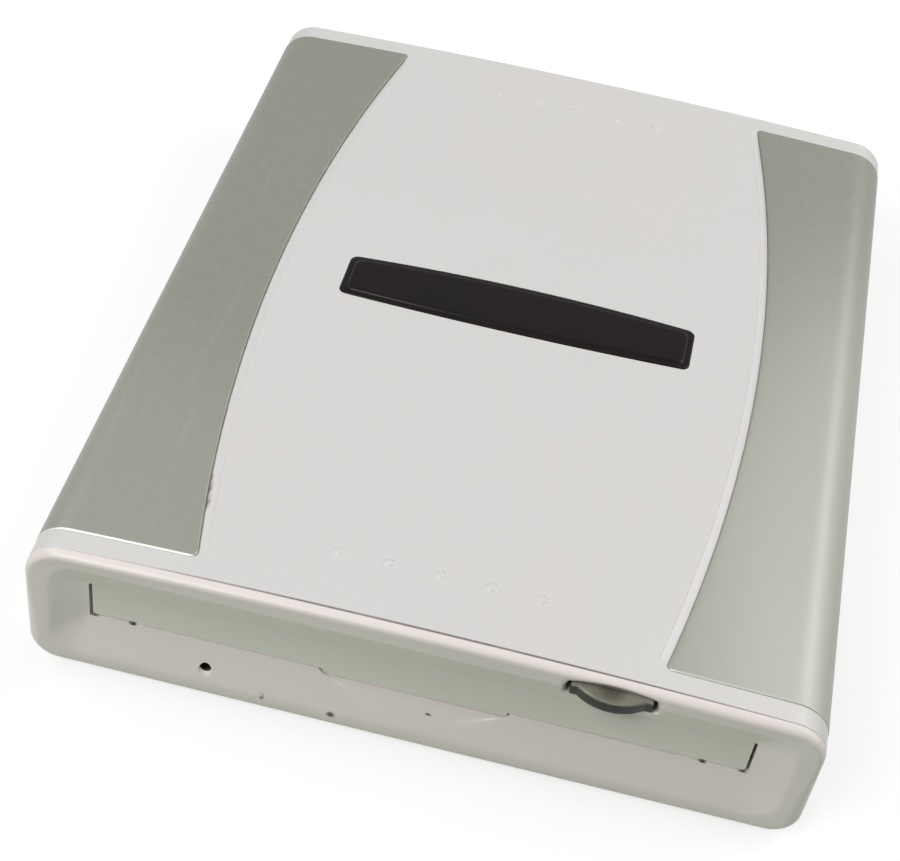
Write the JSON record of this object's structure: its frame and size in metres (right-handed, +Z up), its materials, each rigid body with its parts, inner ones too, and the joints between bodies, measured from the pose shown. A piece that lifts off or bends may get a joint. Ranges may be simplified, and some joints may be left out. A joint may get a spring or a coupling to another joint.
{
  "type": "external magneto-optical drive",
  "caption": "Slim desktop disc drive with a crowned white cover, grey side grips, a funnel bezel, a sprung cartridge door and an eject button over a full loading and head mechanism.",
  "frame": {"origin": "middle of the footprint, on the plane the feet stand on", "axes": "+X to the right seen from the front, +Y to the rear, +Z up"},
  "size_m": [0.11, 0.134, 0.0247],
  "materials": {
    "white_plastic": "satin white moulded plastic",
    "bezel_plastic": "satin warm white moulded plastic",
    "door_plastic": "satin warm white moulded plastic",
    "grip_plastic": "soft fine-textured grey plastic",
    "badge_black": "polished black plastic",
    "button_smoke": "smoky translucent plastic",
    "foot_rubber": "dark rubber",
    "damper_rubber": "dark rubber",
    "screw_steel": "zinc-plated steel",
    "sheet_steel": "pressed steel sheet",
    "spring_steel": "spring wire",
    "shaft_steel": "ground steel",
    "frame_alloy": "die-cast aluminium",
    "board_green": "green circuit board",
    "chip_black": "black moulded package",
    "black_plastic": "black moulded plastic",
    "gear_plastic": "natural acetal",
    "brass": "turned brass",
    "copper": "enamelled copper winding",
    "magnet_grey": "sintered magnet",
    "flex_amber": "amber flexible circuit",
    "lens_glass": "coated glass",
    "led_green": "clear green lamp"
  },
  "bodies": {
    "case": {"top_cover": "white_plastic", "bottom_cover": "white_plastic", "front_bezel": "bezel_plastic", "rear_panel": "white_plastic", "left_grip": "grip_plastic", "right_grip": "grip_plastic", "badge_plate": "badge_black", "rubber_feet": "foot_rubber", "cover_screws": "screw_steel", "door_spring": "spring_steel", "eject_switch": "black_plastic", "front_board": "board_green", "activity_led": "led_green", "front_board_screws": "screw_steel", "drive_frame": "frame_alloy", "shock_mounts": "damper_rubber", "frame_screws": "screw_steel", "main_board": "board_green", "board_chips": "chip_black", "board_screws": "screw_steel", "usb_socket": "sheet_steel", "dc_jack": "black_plastic", "gear_axle": "shaft_steel", "eject_motor": "sheet_steel", "motor_flange": "sheet_steel", "stator_core": "copper", "motor_bearing": "brass", "guide_rails": "shaft_steel", "coil_yokes": "sheet_steel", "coil_magnets": "magnet_grey", "head_flex": "flex_amber", "optics_block": "frame_alloy", "laser_diode": "brass", "detector_board": "board_green"},
    "door": {"door_flap": "door_plastic"},
    "button": {"eject_button": "button_smoke", "switch_plunger": "gear_plastic"},
    "holder": {"cartridge_holder": "sheet_steel", "guide_pins": "shaft_steel", "bias_yoke": "sheet_steel", "bias_coil": "copper", "opener_pivot": "shaft_steel"},
    "opener": {"shutter_opener": "black_plastic"},
    "slider": {"eject_slider": "sheet_steel"},
    "gear": {"reduction_gear": "gear_plastic"},
    "pinion": {"motor_pinion": "brass"},
    "spindle": {"spindle_shaft": "shaft_steel", "spindle_rotor": "sheet_steel", "turntable": "black_plastic", "clamp_magnet": "magnet_grey"},
    "head": {"carriage": "frame_alloy", "drive_coils": "copper", "lens_wires": "spring_steel"},
    "lens": {"lens_holder": "black_plastic", "objective_lens": "lens_glass"}
  },
  "joints": [
    {"name": "door_swing", "type": "hinge", "parent": "case", "child": "door", "pos_m": [0, -0.0639, 0.01835], "axis": [1, 0, 0], "range_deg": [0, 90], "stiffness_Nm_per_rad": 0.0004, "springref_deg": -34.38, "deforming": ["door_spring"]},
    {"name": "eject_press", "type": "slide", "parent": "case", "child": "button", "axis": [0, 1, 0], "range_m": [0, 0.0006], "stiffness_N_per_m": 400, "springref_m": -0.0002},
    {"name": "eject_slide", "type": "slide", "parent": "case", "child": "slider", "axis": [0, 1, 0], "range_m": [-0.006, 0]},
    {"name": "holder_lift", "type": "slide", "parent": "case", "child": "holder", "axis": [0, 0, 1], "range_m": [-0.00261, 0.00001]},
    {"name": "gear_turn", "type": "hinge", "parent": "case", "child": "gear", "pos_m": [-0.0343, 0.0429, 0], "axis": [0, 0, 1], "range_deg": [-0.5, 72.5]},
    {"name": "pinion_turn", "type": "hinge", "parent": "case", "child": "pinion", "pos_m": [-0.023, 0.04891, 0], "axis": [0, 0, 1], "range_deg": [-158.5, 0.5]},
    {"name": "opener_swing", "type": "hinge", "parent": "holder", "child": "opener", "pos_m": [0.012, 0.0395, 0], "axis": [0, 0, 1], "range_deg": [0, 42], "stiffness_Nm_per_rad": 0.0006, "springref_deg": -22.92},
    {"name": "spindle_spin", "type": "hinge", "parent": "case", "child": "spindle", "pos_m": [0, -0.0163, 0], "axis": [0, 0, 1], "continuous": true},
    {"name": "head_slide", "type": "slide", "parent": "case", "child": "head", "axis": [0, 1, 0], "range_m": [0, 0.016], "deforming": ["head_flex"]},
    {"name": "lens_focus", "type": "slide", "parent": "head", "child": "lens", "axis": [0, 0, 1], "range_m": [-0.0003, 0.0003], "stiffness_N_per_m": 30, "deforming": ["lens_wires"]}
  ],
  "couplings": [
    {"joint": "holder_lift", "follows": "eject_slide", "ratio": 0.43333},
    {"joint": "gear_turn", "follows": "eject_slide", "rad_per_m": -208.33},
    {"joint": "pinion_turn", "follows": "eject_slide", "rad_per_m": 458.33}
  ]
}
